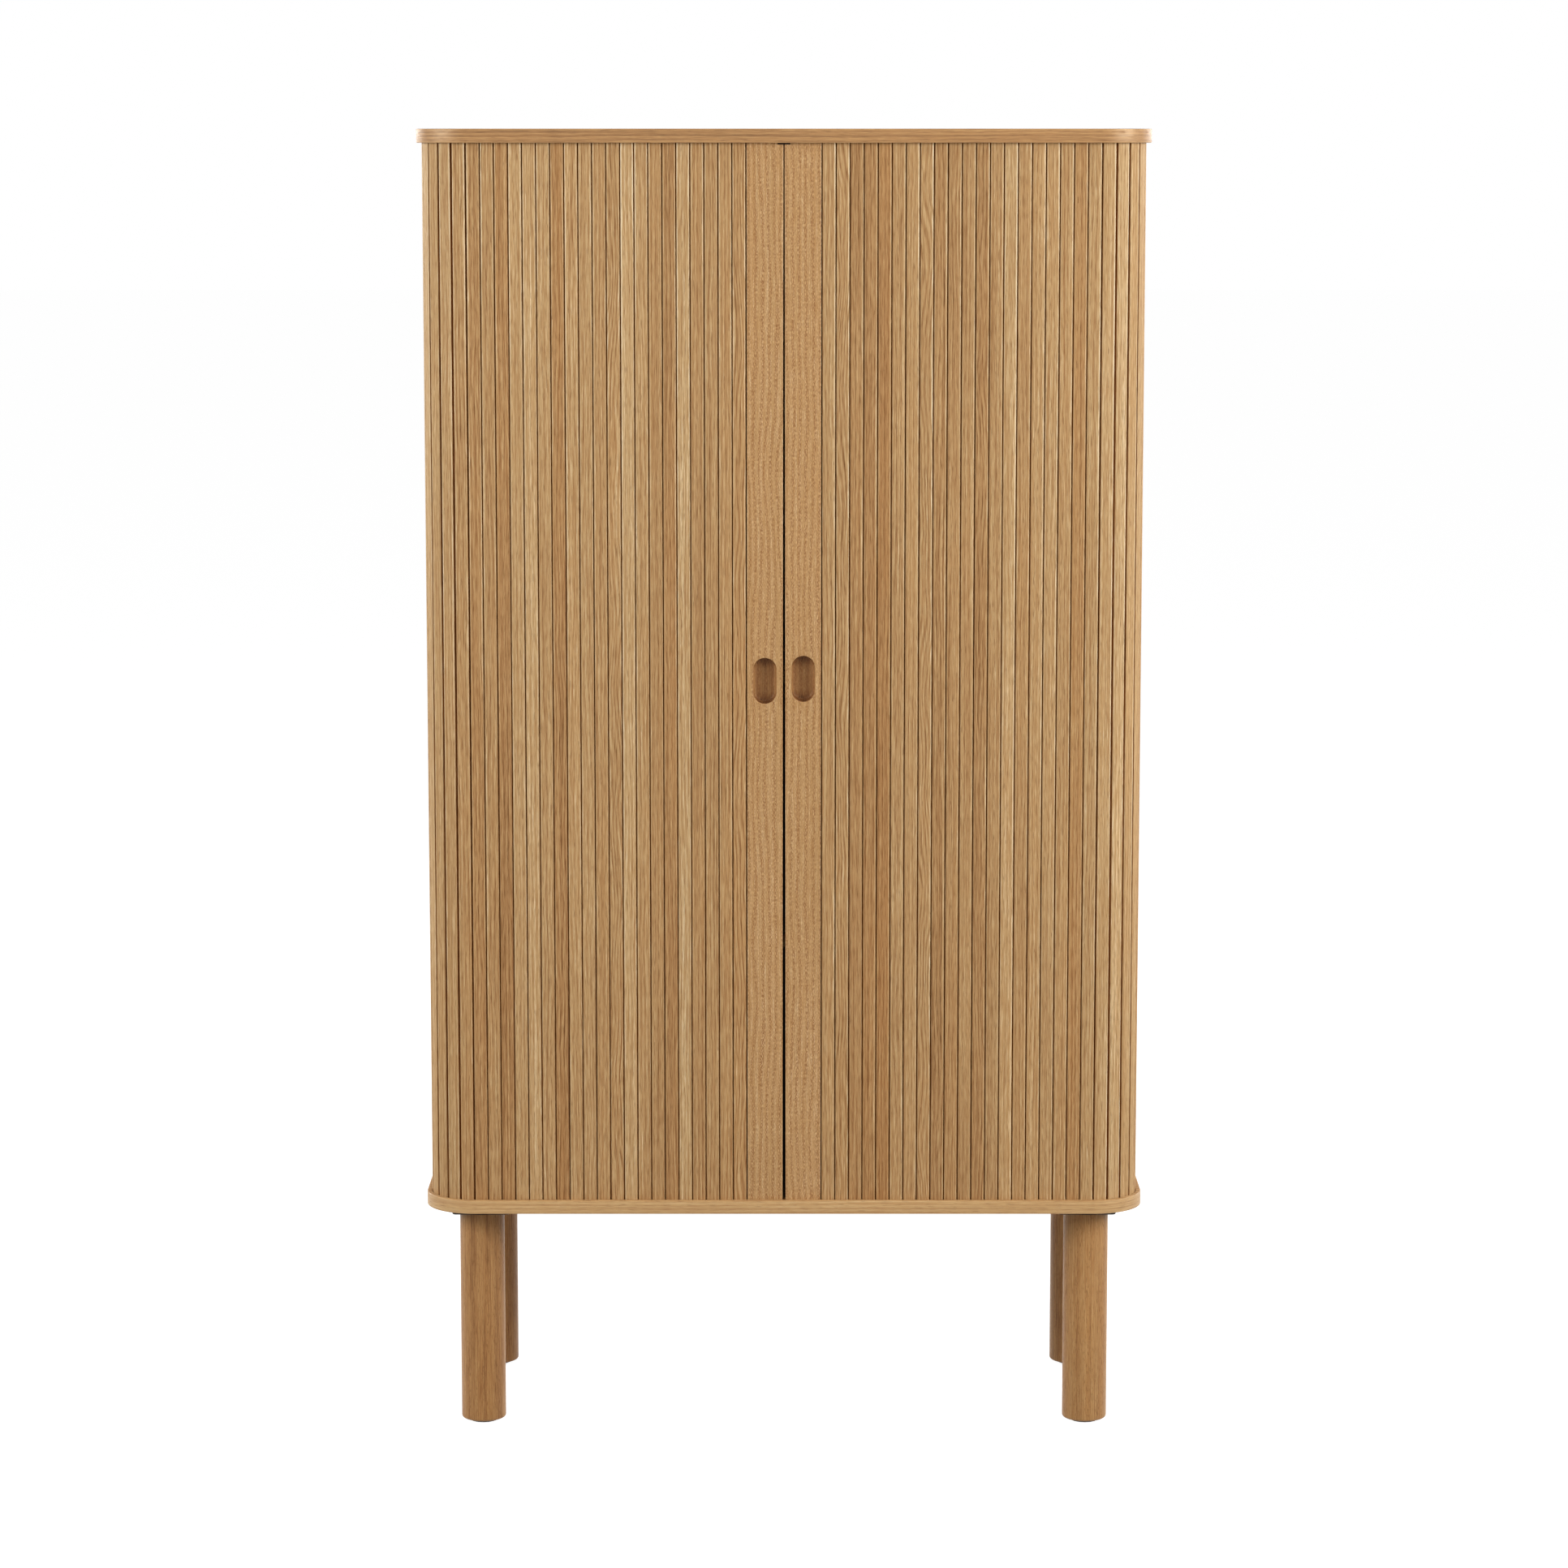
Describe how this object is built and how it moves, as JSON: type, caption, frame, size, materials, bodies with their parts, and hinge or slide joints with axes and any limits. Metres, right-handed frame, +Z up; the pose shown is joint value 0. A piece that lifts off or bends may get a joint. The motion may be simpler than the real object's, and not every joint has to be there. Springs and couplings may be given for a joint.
{
  "type": "tambour cupboard",
  "caption": "Tall oak cupboard with tambour doors of upright slats that slide round its rounded corners, recessed oval finger pulls, shelves inside and round legs.",
  "frame": {"origin": "on the floor, under the middle of the cupboard", "axes": "+Z up, front with the doors at -Y, +X to the right seen from the front"},
  "size_m": [0.9, 0.4, 1.6258],
  "materials": {
    "oak_board": "matt lacquered oak veneer with oak edge band",
    "oak_slat": "matt lacquered oak slats on canvas",
    "oak_leg": "matt lacquered turned oak",
    "oak_panel": "matt oak veneer",
    "black_metal": "matt black",
    "zinc": "zinc plated",
    "glide_plastic": "matt black plastic"
  },
  "bodies": {
    "carcass": {"top_board": "oak_board", "bottom_board": "oak_board", "door_stop": "black_metal", "inner_side_left": "oak_panel", "inner_side_right": "oak_panel", "inner_back": "oak_panel", "back_cover": "oak_panel", "shelf_1": "oak_panel", "shelf_2": "oak_panel", "shelf_3": "oak_panel", "shelf_pin_1_front_left": "zinc", "shelf_pin_1_front_right": "zinc", "shelf_pin_1_rear_left": "zinc", "shelf_pin_1_rear_right": "zinc", "shelf_pin_2_front_left": "zinc", "shelf_pin_2_front_right": "zinc", "shelf_pin_2_rear_left": "zinc", "shelf_pin_2_rear_right": "zinc", "shelf_pin_3_front_left": "zinc", "shelf_pin_3_front_right": "zinc", "shelf_pin_3_rear_left": "zinc", "shelf_pin_3_rear_right": "zinc", "leg_front_left": "oak_leg", "leg_front_right": "oak_leg", "leg_rear_left": "oak_leg", "leg_rear_right": "oak_leg", "leg_plate_front_left": "black_metal", "leg_plate_front_right": "black_metal", "leg_plate_rear_left": "black_metal", "leg_plate_rear_right": "black_metal", "leg_bolt_front_left": "zinc", "leg_bolt_front_right": "zinc", "leg_bolt_rear_left": "zinc", "leg_bolt_rear_right": "zinc", "glide_front_left": "glide_plastic", "glide_front_right": "glide_plastic", "glide_rear_left": "glide_plastic", "glide_rear_right": "glide_plastic", "front_slats_left_1": "oak_slat", "front_slats_left_2": "oak_slat", "front_slats_left_3": "oak_slat", "front_slats_left_4": "oak_slat", "front_slats_right_1": "oak_slat", "front_slats_right_2": "oak_slat", "front_slats_right_3": "oak_slat", "front_slats_right_4": "oak_slat", "corner_slats_left": "oak_slat", "corner_slats_right": "oak_slat", "side_slats_left": "oak_slat", "side_slats_right": "oak_slat", "rear_corner_slats_left": "oak_slat", "rear_corner_slats_right": "oak_slat"},
    "left_door": {"lead_slat_left": "oak_slat", "first_slat_left": "oak_slat"},
    "right_door": {"lead_slat_right": "oak_slat", "first_slat_right": "oak_slat"},
    "left_tail": {"tail_slats_left": "oak_slat"},
    "right_tail": {"tail_slats_right": "oak_slat"}
  },
  "joints": [
    {"name": "left_door_slide", "type": "slide", "parent": "carcass", "child": "left_door", "axis": [-1, 0, 0], "range_m": [0, 0.323], "deforming": ["front_slats_left_1", "front_slats_left_2", "front_slats_left_3", "front_slats_left_4"]},
    {"name": "right_door_slide", "type": "slide", "parent": "carcass", "child": "right_door", "axis": [1, 0, 0], "range_m": [0, 0.323], "deforming": ["front_slats_right_1", "front_slats_right_2", "front_slats_right_3", "front_slats_right_4"]},
    {"name": "left_tail_slide", "type": "slide", "parent": "carcass", "child": "left_tail", "axis": [1, 0, 0], "range_m": [0, 0.323]},
    {"name": "right_tail_slide", "type": "slide", "parent": "carcass", "child": "right_tail", "axis": [-1, 0, 0], "range_m": [0, 0.323]}
  ],
  "couplings": [
    {"joint": "left_tail_slide", "follows": "left_door_slide", "ratio": 1},
    {"joint": "right_tail_slide", "follows": "right_door_slide", "ratio": 1}
  ]
}
